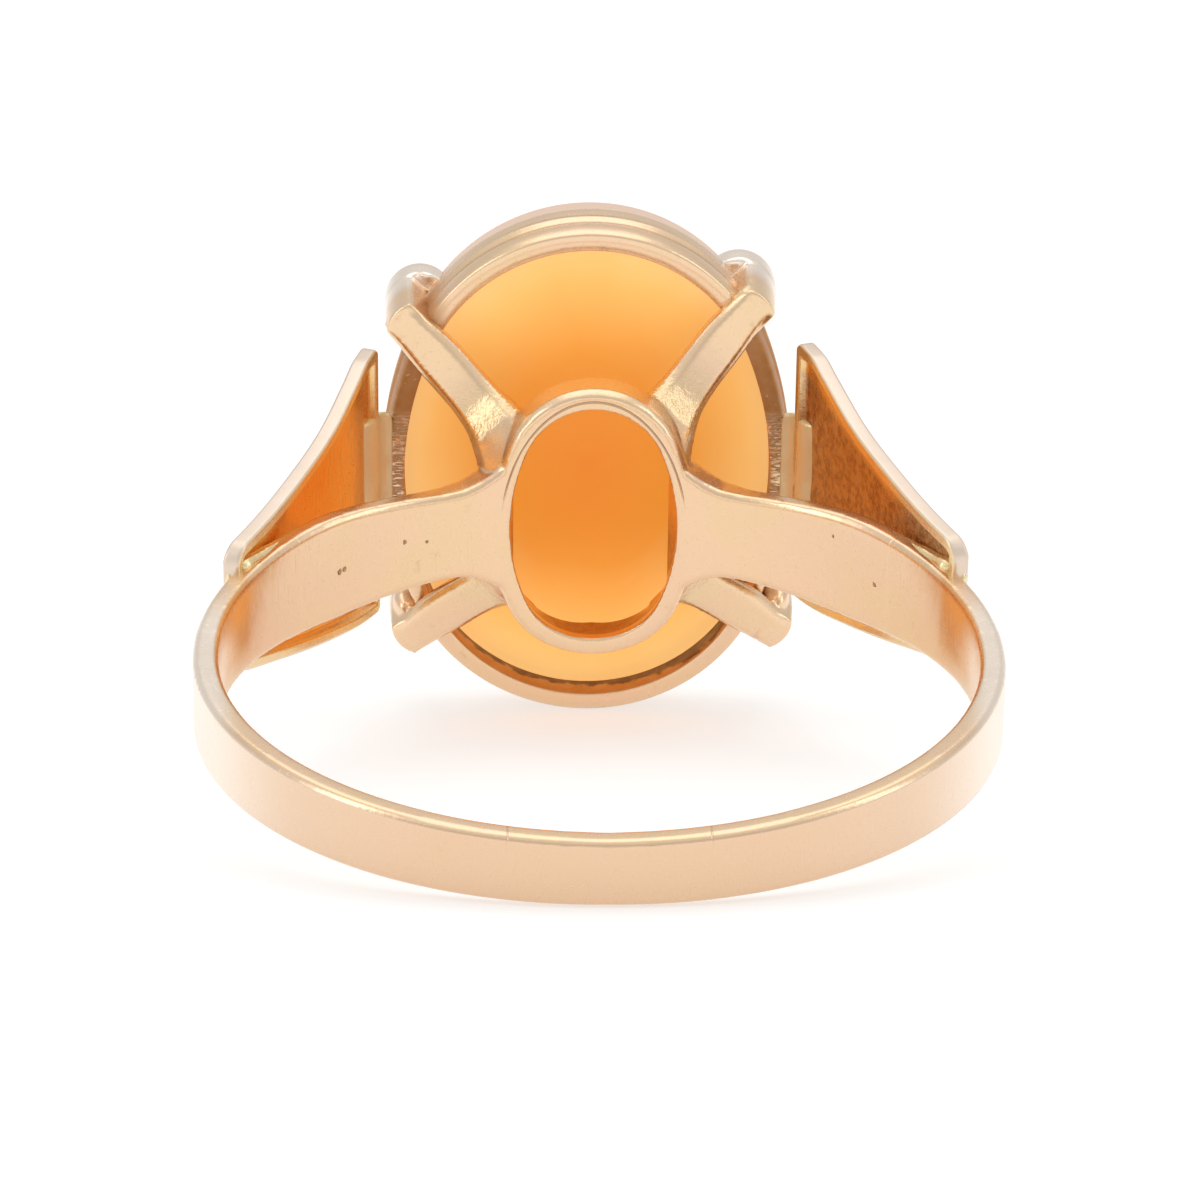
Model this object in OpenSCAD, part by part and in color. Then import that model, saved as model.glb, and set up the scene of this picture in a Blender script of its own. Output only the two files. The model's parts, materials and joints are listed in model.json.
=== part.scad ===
// Cameo ring lying on its side: a carved shell in an oval bezel with four petal claws,
// carried by a pierced gallery and two fan shoulders on a flat band.
// The ring's own frame has X across the finger, Y from the finger to the head and Z along the finger.

/* [Finger] */
// Inside diameter of the ring
finger_d = 17.5; // [15:0.25:21]

/* [Band] */
// Thickness of the band
band_t = 0.6; // [0.5:0.05:1]
// Width of the band at the palm side
palm_w = 1.6; // [1.2:0.1:2.4]
// Width of the band at its two sides
side_w = 2.0; // [1.6:0.1:2.8]
// Width of the band under the fan shoulders
broad_w = 2.65; // [2.2:0.05:3.2]
// Width of the band where it runs into the gallery
neck_w = 2.3; // [1.9:0.1:2.8]

/* [Gallery] */
// Width of the oval hole against the finger
gallery_hole_w = 4.05; // [3.2:0.05:4.8]
// Height of the oval hole, along the finger
gallery_hole_h = 6.15; // [5.2:0.05:7]
// Width of the gallery's rim round the hole
gallery_rim = 0.5; // [0.4:0.05:0.8]
// Thickness of the gallery, towards the stone
gallery_t = 1.1; // [0.8:0.05:1.4]

/* [Cameo] */
// Width of the oval shell
cameo_w = 9.7; // [8.5:0.1:11]
// Height of the oval shell
cameo_h = 12.7; // [11.5:0.1:14]
// Thickness of the shell at its edge
cameo_edge_t = 1.7; // [1.4:0.05:2]
// Rise of the shell's domed front above its edge
cameo_dome = 1.0; // [0.6:0.05:1.4]
// Height of the carving above the domed ground
relief_h = 0.5; // [0.3:0.05:0.7]

/* [Bezel] */
// Distance from the finger to the back of the bezel
head_rise = 2.95; // [2.4:0.05:3.6]
// Height of the bezel from its back rim to its front lip
bezel_h = 1.6; // [1.3:0.05:2]
// Thickness of the ledge that the shell sits on
ledge_t = 0.75; // [0.5:0.05:1]
// Width of the ledge under the shell
ledge_w = 0.25; // [0.2:0.01:0.5]
// Thickness of the bezel's wall beside the shell
bezel_wall = 0.18; // [0.15:0.01:0.3]
// Clearance between the shell and the metal
fit_gap = 0.05; // [0.03:0.01:0.08]

/* [Claws] */
// Angle of the claws above the width of the head
claw_angle = 45; // [40:1:50]
// Width of a claw's bar
claw_w = 1.0; // [0.9:0.05:1.2]
// Thickness of a claw
claw_t = 0.45; // [0.3:0.05:0.5]
// Half width of a claw's rounded petal
petal_r = 0.95; // [0.8:0.05:1.1]
// Width of the petal's stem, beside the bezel
stem_w = 1.3; // [1.1:0.05:1.5]
// Height of the petal above the shell's edge
petal_rise = 0.5; // [0.4:0.05:0.7]

/* [Shoulders] */
// Height of a fan from tip to tip, along the finger
fan_h = 7.05; // [6.5:0.05:8]
// Thickness of a fan's rim
fan_t = 0.45; // [0.4:0.05:0.6]
// Depth of the hollow in a fan's inner face
fan_hollow = 0.18; // [0.1:0.01:0.2]
// Width of the rim round the hollow
fan_rim = 0.3; // [0.2:0.05:0.4]
// Angle up the band's side where a fan leaves it
fan_foot_angle = 24; // [20:0.5:28]
// Step from the band up to a fan's outer face
fan_step = 0.22; // [0.15:0.01:0.3]
// Hollow of a fan's outer face, seen along the finger
fan_bow = 0.25; // [0.1:0.01:0.3]
// Gap between a fan and the bezel
fan_gap = 0.35; // [0.25:0.05:0.4]
// Height of the solder that joins a fan to the bezel
bridge_h = 3.3; // [2.6:0.1:4.6]

/* [Hidden] */
$fn = 96;
gold = [0.92, 0.74, 0.58];
shell = [0.93, 0.58, 0.25];

bore_r = finger_d / 2;
band_r = bore_r + band_t;
gallery_front = bore_r + gallery_t;
shell_half_w = cameo_w / 2;
shell_half_h = cameo_h / 2;
bezel_half_w = shell_half_w + fit_gap + bezel_wall;
bezel_half_h = shell_half_h + fit_gap + bezel_wall;
bezel_back = bore_r + head_rise;
bezel_front = bezel_back + bezel_h;
shell_seat = bezel_back + ledge_t;
shell_back = shell_seat + fit_gap;
shell_edge = shell_back + cameo_edge_t;
// Outer face of a fan at its head side
fan_tip = [bezel_half_w + fan_gap + fan_t / 2, bezel_back - fan_gap / 2];
// The bezel is drawn in a little from the crease round its middle to its back rim, and at its lip
rim_draw = bezel_wall * 0.6;
lip_draw = bezel_wall * 0.3;

// Longer than anything that it cuts through
beyond = 4 * finger_d;

// The ring rests on the band's lower outer edge at the palm and on the bezel's lower back edge
rest_tilt = atan((bezel_half_h - rim_draw - palm_w / 2) / (bezel_back + band_r));

// Rise of the domed ground above the shell's edge, at a share of the way out from the middle
function dome_rise(share) = cameo_dome * sqrt(max(0, 1 - share * share));

// Band: angle from the ring's side towards the head, half width there
BAND_STATIONS = [
    [-90, palm_w / 2],
    [-45, (palm_w * 0.55 + side_w * 0.45) / 2],
    [0, side_w / 2],
    [25, (side_w * 0.45 + broad_w * 0.55) / 2],
    [45, broad_w / 2],
    [66, neck_w / 2],
    [74, neck_w * 0.62],
    [90, neck_w * 0.75],
];

// Fan: share of the way from foot to head side, share of the half height
FAN_STATIONS = [
    [0.00, 0.43],
    [0.20, 0.53],
    [0.40, 0.63],
    [0.60, 0.74],
    [0.80, 0.88],
    [0.90, 0.965],
    [0.96, 0.985],
    [1.00, 0.90],
];

// Claw: share of the way from the gallery to the petal, share of the rise from the gallery to the bezel
CLAW_STATIONS = [
    [0.00, -0.35],
    [0.14, 0.18],
    [0.38, 0.55],
    [0.68, 0.82],
    [1.00, 1.00],
];

// Claws, set by hand: side, upper or lower, turn from the claw angle, sideways shift as a share of width
CLAWS = [
    [-1, 1, -1.5, -0.15],
    [1, 1, 3, 0.17],
    [-1, -1, -1, 0],
    [1, -1, -3.5, 0],
];

// Fan shoulders, set by hand: side, shift along the finger as a share of a fan's height
SHOULDERS = [
    [-1, 0.015],
    [1, 0.04],
];

// Lady's bust in profile, as shares of the shell's half height, from the crown round by the face
BUST = [
    [0.00, 0.70], [0.14, 0.64], [0.26, 0.52], [0.31, 0.40], [0.305, 0.31], [0.345, 0.22],
    [0.40, 0.13], [0.37, 0.085], [0.325, 0.07], [0.35, 0.025], [0.33, -0.005], [0.345, -0.045],
    [0.31, -0.085], [0.33, -0.14], [0.27, -0.20], [0.16, -0.20], [0.09, -0.26], [0.09, -0.38],
    [0.14, -0.51], [0.27, -0.61], [0.34, -0.70], [0.19, -0.79], [0.00, -0.82], [-0.22, -0.79],
    [-0.39, -0.67], [-0.30, -0.54], [-0.19, -0.42], [-0.18, -0.31], [-0.27, -0.23], [-0.39, -0.18],
    [-0.50, -0.06], [-0.52, 0.11], [-0.44, 0.25], [-0.36, 0.38], [-0.29, 0.52], [-0.16, 0.65],
];
// Lower hairline from the forehead past the ear to the nape, in the same shares
HAIRLINE = [[0.30, 0.44], [0.12, 0.34], [0.02, 0.18], [-0.04, 0.02], [-0.12, -0.14], [-0.24, -0.22]];
// The rest of the hair's outline, round the back and over the crown
HAIR_BACK = [[-0.70, -0.30], [-0.70, 0.90], [0.50, 0.90], [0.42, 0.48]];
// Middle of the bun, width of one lock, and how far in the carving rounds up from its outline
BUN = [-0.38, 0.04];
LOCK_W = 0.12;
SOFT_EDGE = 0.08;

// A smooth curve through open stations, with steps short pieces between each two
function mixed(a, b, c, d, t) =
    0.5 * (2 * b + (c - a) * t + (2 * a - 5 * b + 4 * c - d) * t * t
        + (3 * b - a - 3 * c + d) * t * t * t);
function smooth_open(rows, steps) = let (last = len(rows) - 1) [
    for (i = [0 : last - 1], s = [0 : steps - 1])
        mixed(rows[max(i - 1, 0)], rows[i], rows[i + 1], rows[min(i + 2, last)], s / steps),
    rows[last]
];
function smooth_closed(rows, steps) = let (n = len(rows)) [
    for (i = [0 : n - 1], s = [0 : steps - 1])
        mixed(rows[(i + n - 1) % n], rows[i], rows[(i + 1) % n], rows[(i + 2) % n], s / steps)
];

// An oval is drawn with four arcs: one round each end and one along each side. Their centres and
// the oval's middle make triangles with sides of 5, 12 and 13 shares, so neighbouring arcs meet exactly.
function arc_share(half_w, half_h) = (half_h - half_w) / 4;
function end_r(half_w, half_h) = half_h - 5 * arc_share(half_w, half_h);
function side_r(half_w, half_h) = half_w + 12 * arc_share(half_w, half_h);

// How far a circle, set off along one line, reaches in a direction at this angle from that line
function offset_reach(offset, radius, angle) =
    offset * cos(angle) + sqrt(radius * radius - pow(offset * sin(angle), 2));

// How far the four-arc oval reaches at an angle above its width
function oval_reach(half_w, half_h, angle) = let (
    up = asin(abs(sin(angle))),
    r = end_r(half_w, half_h),
    big_r = side_r(half_w, half_h),
    corner = atan2(big_r * 5 / 13, half_w - big_r / 13)
) up < corner
    ? offset_reach(half_w - big_r, big_r, up)
    : offset_reach(half_h - r, r, 90 - up);

// Half-width rows mirrored into a closed outline
function two_sided(rows) = concat(
    rows,
    [for (i = [len(rows) - 1 : -1 : 0]) [rows[i][0], -rows[i][1]]]
);

// A profile of [distance outside the oval, level], carried round an oval that faces along Y
module oval_sweep(half_w, half_h) {
    share = arc_share(half_w, half_h);
    side = [-12 * share, 0];
    end = [0, 5 * share];
    far = side + [12, 5] * half_h;
    rotate([-90, 0, 0]) for (other = [0, 1]) {
        mirror([other, 0, 0])
            arc_sweep(side, side_r(half_w, half_h), [side, [far[0], -far[1]], far]) children();
        mirror([0, other, 0])
            arc_sweep(end, end_r(half_w, half_h), [end, far, [-far[0], far[1]]]) children();
    }
}
module arc_sweep(centre, radius, wedge) {
    intersection() {
        translate(centre) rotate_extrude() translate([radius, 0]) children();
        linear_extrude(beyond, center = true) polygon(wedge);
    }
}

// A flat outline in Y and Z, extruded across the finger
module across(width) {
    rotate([90, 0, 90]) linear_extrude(width, center = true) children();
}

// Flat band, bent round the finger and wider towards the head
module band() {
    stations = smooth_open(BAND_STATIONS, 3);
    outline = [for (s = stations) [band_r * sin(s[0]), s[1]]];
    intersection() {
        cylinder(h = beyond, r = band_r, center = true);
        across(beyond) polygon(two_sided(outline));
    }
}

// Oval ring under the stone, whose finger side follows the band's bore
module gallery() {
    hole_half_w = gallery_hole_w / 2;
    hole_half_h = gallery_hole_h / 2;
    lowest = sqrt(bore_r * bore_r - pow(hole_half_w + gallery_rim, 2)) - band_t;
    oval_sweep(hole_half_w, hole_half_h)
        translate([0, lowest]) square([gallery_rim, gallery_front - lowest]);
}

// Room that the gallery leaves in the band, out to the middle of its own rim
module gallery_middle() {
    half_w = (gallery_hole_w + gallery_rim) / 2;
    half_h = (gallery_hole_h + gallery_rim) / 2;
    rotate([-90, 0, 0]) linear_extrude(beyond) polygon([
        for (a = [0 : 360 / $fn : 359]) oval_reach(half_w, half_h, a) * [cos(a), sin(a)]
    ]);
}

// Bezel: a ledge with an open back, a creased wall and a front lip that leans in
module bezel() {
    outside = fit_gap + bezel_wall;
    oval_sweep(shell_half_w, shell_half_h) polygon([
        [-ledge_w, bezel_back],
        [outside - rim_draw, bezel_back],
        [outside, shell_seat],
        [outside, bezel_front - bezel_wall],
        [outside - lip_draw, bezel_front],
        [fit_gap, bezel_front],
        [fit_gap, shell_seat],
        [-ledge_w, shell_seat],
    ]);
}

// Room round the shell's edge and the shoulder of its dome
module shell_room() {
    deep = 1.3 * petal_r;
    steps = 3;
    oval_sweep(shell_half_w, shell_half_h) polygon(concat(
        [[-deep, shell_seat], [fit_gap, shell_seat]],
        [for (i = [0 : steps]) let (inside = deep * pow(i / steps, 2))
            [fit_gap - inside, shell_edge + fit_gap + dome_rise(1 - inside / shell_half_w)]]
    ));
}

// One claw in its own frame, with X outwards from the head and Y away from the finger:
// a bent bar under the bezel and a hollow petal that closes over the shell's edge
module claw(angle) {
    petal_reach = oval_reach(shell_half_w, shell_half_h, angle);
    gallery_reach = oval_reach(gallery_hole_w / 2, gallery_hole_h / 2, angle) + gallery_rim / 2;
    bar_end = petal_reach + stem_w / 2 + fit_gap;
    bar_base = gallery_front;
    bar_top = bezel_back;
    petal_base = shell_edge + petal_rise - petal_r;
    centre = [for (s = smooth_open(CLAW_STATIONS, 4)) [
        gallery_reach + s[0] * (bar_end - gallery_reach),
        bar_base + s[1] * (bar_top - bar_base)
    ]];
    half_t = claw_t / 2;
    bar = concat(
        [for (p = centre) [p[0], p[1] - half_t]],
        [for (i = [len(centre) - 1 : -1 : 0]) [centre[i][0], centre[i][1] + half_t]]
    );
    linear_extrude(claw_w, center = true) polygon(bar);
    skirt = shell_edge - petal_r;
    // The round that the stem is cut from, a little wider than the stem's flat sides
    foot_r = stem_w * 0.6;
    translate([petal_reach, 0, 0]) intersection() {
        difference() {
            petal_solid(petal_r, foot_r, bar_top - half_t, petal_base);
            petal_solid(petal_r - claw_t, foot_r - claw_t, bar_top + half_t, petal_base);
        }
        union() {
            translate([-2 * petal_r, skirt, -2 * petal_r]) cube([4 * petal_r, 4 * petal_r, 4 * petal_r]);
            translate([0, 0, -stem_w / 2]) cube([2 * petal_r, skirt + petal_r, stem_w]);
        }
    }
}

// A round-topped bud along Y
module petal_solid(radius, foot_r, from, equator) {
    rotate([-90, 0, 0]) rotate_extrude() {
        translate([0, equator]) intersection() {
            circle(radius);
            square(radius);
        }
        polygon([[0, from], [foot_r, from], [radius, equator], [0, equator]]);
    }
}

module claws() {
    for (c = CLAWS) scale([c[0], 1, c[1]]) rotate([0, -claw_angle - c[2], 0])
        translate([0, 0, c[3] * claw_w]) claw(claw_angle + c[2]);
}

// Fan shoulder on the +X side: a bowed plate, wider towards the head, with a hollow inner face
module fan() {
    foot = [(band_r + fan_step) * cos(fan_foot_angle), (band_r + fan_step) * sin(fan_foot_angle)];
    chord = fan_tip - foot;
    inward = [-chord[1], chord[0]] / norm(chord);
    steps = 6;
    function bowed(s, depth) = foot + s * chord + inward * (fan_bow * 4 * s * (1 - s) + depth);
    function plan(depth_a, depth_b) = concat(
        [for (i = [0 : steps]) bowed(i / steps, depth_a)],
        [for (i = [steps : -1 : 0]) bowed(i / steps, depth_b)]
    );
    function outline(margin) = [for (s = smooth_open(FAN_STATIONS, 3)) [
        foot[1] - fan_rim + s[0] * (fan_tip[1] - foot[1] + fan_rim - margin),
        s[1] * fan_h / 2 - margin
    ]];
    difference() {
        intersection() {
            linear_extrude(beyond, center = true) polygon(plan(0, fan_t));
            across(beyond) polygon(two_sided(outline(0)));
        }
        intersection() {
            linear_extrude(beyond, center = true) polygon(plan(fan_t - fan_hollow, 2 * fan_t));
            across(beyond) polygon(two_sided(outline(fan_rim)));
        }
    }
}

// Solder between the head side of a fan and the bezel
module fan_solder() {
    translate([bezel_half_w - bezel_wall, fan_tip[1] - fan_t, -bridge_h / 2])
        cube([fan_gap + bezel_wall + fan_t / 2, 2 * fan_t, bridge_h]);
}

module shoulders() {
    for (s = SHOULDERS) scale([s[0], 1, 1]) {
        translate([0, 0, s[1] * fan_h]) fan();
        fan_solder();
    }
}

module lying() {
    rotate([rest_tilt, 0, 0]) children();
}

module setting() {
    color(gold) lying() union() {
        difference() {
            union() {
                difference() {
                    band();
                    gallery_middle();
                }
                gallery();
            }
            cylinder(h = beyond, r = bore_r, center = true);
        }
        bezel();
        shoulders();
        difference() {
            claws();
            shell_room();
        }
    }
}

// Distance from a point to the nearest stretch of a closed outline
function to_stretch(p, a, b) = let (d = b - a, t = max(0, min(1, (p - a) * d / (d * d)))) norm(p - a - t * d);
function to_outline(p, pts) = let (n = len(pts))
    min([for (i = [0 : n - 1]) to_stretch(p, pts[i], pts[(i + 1) % n])]);
function within(p, pts) = len([for (i = [0 : len(pts) - 1])
    let (a = pts[i], b = pts[(i + 1) % len(pts)])
    if ((a[1] > p[1]) != (b[1] > p[1]) && p[0] < a[0] + (b[0] - a[0]) * (p[1] - a[1]) / (b[1] - a[1])) 1
]) % 2 == 1;
function rounded(share) = let (t = min(1, share)) sqrt(1 - (1 - t) * (1 - t));

// Height of the carving above the ground at a point seen from the front
bust = smooth_closed(BUST, 2) * shell_half_h;
hair = concat(smooth_open(HAIRLINE, 2), HAIR_BACK) * shell_half_h;
bun = BUN * shell_half_h;
function carved(p) = !within(p, bust) ? 0 : let (
    body = rounded(to_outline(p, bust) / (SOFT_EDGE * shell_half_h)),
    locks = 0.7 + 0.3 * cos(360 * norm(p - bun) / (LOCK_W * shell_half_h)),
    tress = within(p, hair) ? rounded(to_outline(p, hair) / (SOFT_EDGE * shell_half_h)) * locks : 0
) relief_h * body * (0.62 + 0.38 * tress);

// Carved shell: a flat back, a straight edge and a domed front with the raised bust
module cameo() {
    rings = 46;
    turns = 112;
    function share(i) = 1 - pow(1 - i / rings, 1.3);
    function front(i, j) = let (
        angle = 360 * j / turns,
        reach = oval_reach(shell_half_w, shell_half_h, angle) * share(i),
        x = reach * cos(angle),
        z = reach * sin(angle)
    ) [x, shell_edge + dome_rise(share(i)) + carved([-x, z]), z];
    points = concat(
        [front(0, 0)],
        [for (i = [1 : rings], j = [0 : turns - 1]) front(i, j)],
        [for (j = [0 : turns - 1]) let (p = front(rings, j)) [p[0], shell_back, p[2]]]
    );
    function at(i, j) = 1 + (i - 1) * turns + j % turns;
    faces = concat(
        [for (j = [0 : turns - 1]) [0, at(1, j), at(1, j + 1)]],
        [for (i = [1 : rings], j = [0 : turns - 1]) [at(i, j), at(i + 1, j), at(i + 1, j + 1)]],
        [for (i = [1 : rings], j = [0 : turns - 1]) [at(i, j), at(i + 1, j + 1), at(i, j + 1)]],
        [[for (j = [turns - 1 : -1 : 0]) at(rings + 1, j)]]
    );
    color(shell) lying() polyhedron(points, faces, convexity = 6);
}

setting();
cameo();
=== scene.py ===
# Cameo ring, lying on its side and seen from behind its head.
# Shapes are made in millimetres in the ring's own frame: x across the finger, y from the finger
# to the head and z along the finger. lay_down turns and scales them to where the ring lies.
import json
import math

import bmesh
import bpy
import numpy as np
from mathutils import Matrix, Vector, noise


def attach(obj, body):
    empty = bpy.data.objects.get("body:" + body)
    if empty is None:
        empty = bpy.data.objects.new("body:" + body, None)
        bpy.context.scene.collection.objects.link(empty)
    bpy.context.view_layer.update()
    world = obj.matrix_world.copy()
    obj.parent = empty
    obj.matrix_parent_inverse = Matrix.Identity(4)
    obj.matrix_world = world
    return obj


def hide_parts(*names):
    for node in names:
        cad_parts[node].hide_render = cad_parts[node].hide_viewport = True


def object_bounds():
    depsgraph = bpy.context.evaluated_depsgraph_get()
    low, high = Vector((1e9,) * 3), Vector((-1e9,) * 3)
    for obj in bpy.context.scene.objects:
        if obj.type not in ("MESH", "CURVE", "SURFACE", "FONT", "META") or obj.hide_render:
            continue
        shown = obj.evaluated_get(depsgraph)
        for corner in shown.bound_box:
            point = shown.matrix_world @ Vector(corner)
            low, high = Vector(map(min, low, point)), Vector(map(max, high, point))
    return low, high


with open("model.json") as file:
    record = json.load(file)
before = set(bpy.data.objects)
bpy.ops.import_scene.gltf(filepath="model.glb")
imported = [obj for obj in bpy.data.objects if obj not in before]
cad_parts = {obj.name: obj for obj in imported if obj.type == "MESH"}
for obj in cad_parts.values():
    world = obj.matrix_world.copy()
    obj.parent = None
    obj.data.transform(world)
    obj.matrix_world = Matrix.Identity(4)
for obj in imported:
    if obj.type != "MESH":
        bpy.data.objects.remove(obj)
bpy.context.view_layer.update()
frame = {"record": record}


# Band, gallery and claws. On the real ring they are one run of rose-yellow gold: a flat strip bent
# round the finger, an oval ring that it runs into, and four bars soldered to that ring, each with a
# rounded petal over the stone's edge. They are melted into one skin here, so roots flow together.
BORE_R = 8.75
BAND_R = 9.35
bore_axis = frame["record"]["mounts"][0]["axis"]
rest_tilt = math.atan2(-bore_axis[1], bore_axis[2])
MM = 0.001
lay_down = Matrix.Rotation(rest_tilt, 4, "X") @ Matrix.Scale(MM, 4)
# radius at which a ring's profile is turned, before its points are moved onto an oval
RING_R = 10

# angle from the ring's side towards the head, half width
BAND_WIDTHS = [
    (-90, 0.79), (-45, 0.88), (0, 1.0), (25, 1.19), (45, 1.325),
    (60, 1.19), (66, 1.14), (69, 1.16), (72, 1.30), (75, 1.62), (77, 1.9),
]
# angle from the ring's side towards the head, rise of the outer face above the band
BAND_RISES = [(-90, 0.0), (58, 0.0), (64, 0.05), (69, 0.22), (73, 0.46), (77, 0.78)]


def eased(table, x):
    """Reads a table of (x, value) rows smoothly, with no overshoot, and level beyond its ends."""
    xs, ys = np.array(table, float).T
    x = np.clip(x, xs[0], xs[-1])
    rate = np.diff(ys) / np.diff(xs)
    rate = np.concatenate([rate[:1], rate, rate[-1:]])
    before, after = rate[:-1], rate[1:]
    one_way = before * after > 0
    slope = np.where(one_way, 2 * before * after / np.where(one_way, before + after, 1), 0)
    i = np.clip(np.searchsorted(xs, x) - 1, 0, len(xs) - 2)
    step = xs[i + 1] - xs[i]
    t = (x - xs[i]) / step
    rise = ys[i + 1] - ys[i]
    return (
        ys[i]
        + rise * t * t * (3 - 2 * t)
        + step * t * (1 - t) * (slope[i] * (1 - t) - slope[i + 1] * t)
    )


def on_oval(half_w, half_h, angle, out=0.0):
    """The point, out from a four-arc oval, where its outward normal has this angle."""
    share = (half_h - half_w) / 4
    nx, nz = math.cos(angle), math.sin(angle)
    if abs(nz) < 5 / 13:
        reach = half_w + 12 * share + out
        return reach * nx - math.copysign(12 * share, nx), reach * nz
    reach = half_h - 5 * share + out
    return reach * nx, reach * nz + math.copysign(5 * share, nz)


def points_in(geometry):
    return [g for g in geometry if isinstance(g, bmesh.types.BMVert)]


def edges_in(geometry):
    return [g for g in geometry if isinstance(g, bmesh.types.BMEdge)]


def closed_line(bm, places):
    """Draws a closed line and returns its points and edges."""
    points = [bm.verts.new(p) for p in places]
    return points, [bm.edges.new((a, b)) for a, b in zip(points, points[1:] + points[:1])]


def spun(bm, profile, steps=256):
    """Turns a closed profile round the y axis and returns the new points."""
    points, edges = closed_line(bm, profile)
    before = set(bm.verts) - set(points)
    whole_turn = {"axis": (0, 1, 0), "angle": math.tau, "use_merge": True}
    bmesh.ops.spin(bm, geom=points + edges, cent=(0, 0, 0), steps=steps, **whole_turn)
    return [v for v in bm.verts if v not in before]


def ring(bm, profile, steps=256):
    """Turns a profile of (out, y) rows into a ring, and gives each point, its out and its angle."""
    for v in spun(bm, [(RING_R + out, y, 0) for out, y in profile], steps):
        yield v, math.hypot(v.co.x, v.co.z) - RING_R, math.atan2(v.co.z, v.co.x)


def swept(bm, outline, frames):
    """Carries a closed outline through placing frames, with both ends closed."""
    points, edges = closed_line(bm, [frames[0] @ Vector(p) for p in outline])
    bm.faces.new(points)
    made = list(points)
    for before, after in zip(frames, frames[1:]):
        grown = bmesh.ops.extrude_edge_only(bm, edges=edges)["geom"]
        points = points_in(grown)
        fresh = set(points)
        edges = [e for e in edges_in(grown) if fresh.issuperset(e.verts)]
        bmesh.ops.transform(bm, matrix=after @ before.inverted(), verts=points)
        made += points
    bmesh.ops.edgeloop_fill(bm, edges=edges)
    return made


def melted(bm, grain, softening):
    """Melts overlapping closed shapes into one skin with softened corners."""
    bmesh.ops.recalc_face_normals(bm, faces=bm.faces)
    mesh = bpy.data.meshes.new("melt")
    bm.to_mesh(mesh)
    bm.free()
    lump = bpy.data.objects.new("melt", mesh)
    bpy.context.scene.collection.objects.link(lump)
    remesh = lump.modifiers.new("melt", "REMESH")
    remesh.mode = "VOXEL"
    remesh.voxel_size = grain
    soften = lump.modifiers.new("soften", "SMOOTH")
    soften.factor = 0.5
    soften.iterations = softening
    evaluated = lump.evaluated_get(bpy.context.evaluated_depsgraph_get())
    skin = bpy.data.meshes.new_from_object(evaluated)
    bpy.data.objects.remove(lump)
    bpy.data.meshes.remove(mesh)
    out = bmesh.new()
    out.from_mesh(skin)
    bpy.data.meshes.remove(skin)
    return out


def closed_cut(bm, through, facing):
    """Cuts away what lies on the facing side of a plane and closes the cut."""
    everything = bm.verts[:] + bm.edges[:] + bm.faces[:]
    cut = bmesh.ops.bisect_plane(
        bm, geom=everything, plane_co=through, plane_no=facing, clear_outer=True
    )["geom_cut"]
    bmesh.ops.holes_fill(bm, edges=edges_in(cut))


SHARP_ANGLE = math.radians(62)


def finished(bm, name, material, node="setting"):
    """Lays a shape where the ring lies and makes it a piece that stands for its CAD node."""
    bmesh.ops.transform(bm, matrix=lay_down, verts=bm.verts)
    mesh = bpy.data.meshes.new(name)
    bm.to_mesh(mesh)
    bm.free()
    mesh.shade_smooth()
    mesh.set_sharp_from_angle(angle=SHARP_ANGLE)
    mesh.materials.append(material)
    piece = bpy.data.objects.new(name, mesh)
    bpy.context.scene.collection.objects.link(piece)
    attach(piece, "root")
    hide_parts(node)


class Reading:
    """A socket that sums can be written with."""

    def __init__(self, finish, socket):
        self.finish = finish
        self.socket = socket

    def sum(self, operation, *values):
        inputs = dict(enumerate(values))
        return self.finish.node("ShaderNodeMath", {"operation": operation}, inputs)

    def __add__(self, other):
        return self.sum("ADD", self, other)

    def __sub__(self, other):
        return self.sum("SUBTRACT", self, other)

    def __rsub__(self, other):
        return self.sum("SUBTRACT", other, self)

    def __mul__(self, other):
        return self.sum("MULTIPLY", self, other)

    def __truediv__(self, other):
        return self.sum("DIVIDE", self, other)

    def __pow__(self, other):
        return self.sum("POWER", self, other)

    def __abs__(self):
        return self.sum("ABSOLUTE", self)

    __radd__ = __add__
    __rmul__ = __mul__

    def ramp(self, low, high):
        """0 below low and 1 above high, or the other way round, with a soft step between."""
        settings = {"interpolation_type": "SMOOTHSTEP"}
        return self.finish.node("ShaderNodeMapRange", settings, {0: self, 1: low, 2: high})

    def most(self, other):
        return self.sum("MAXIMUM", self, other)


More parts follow.
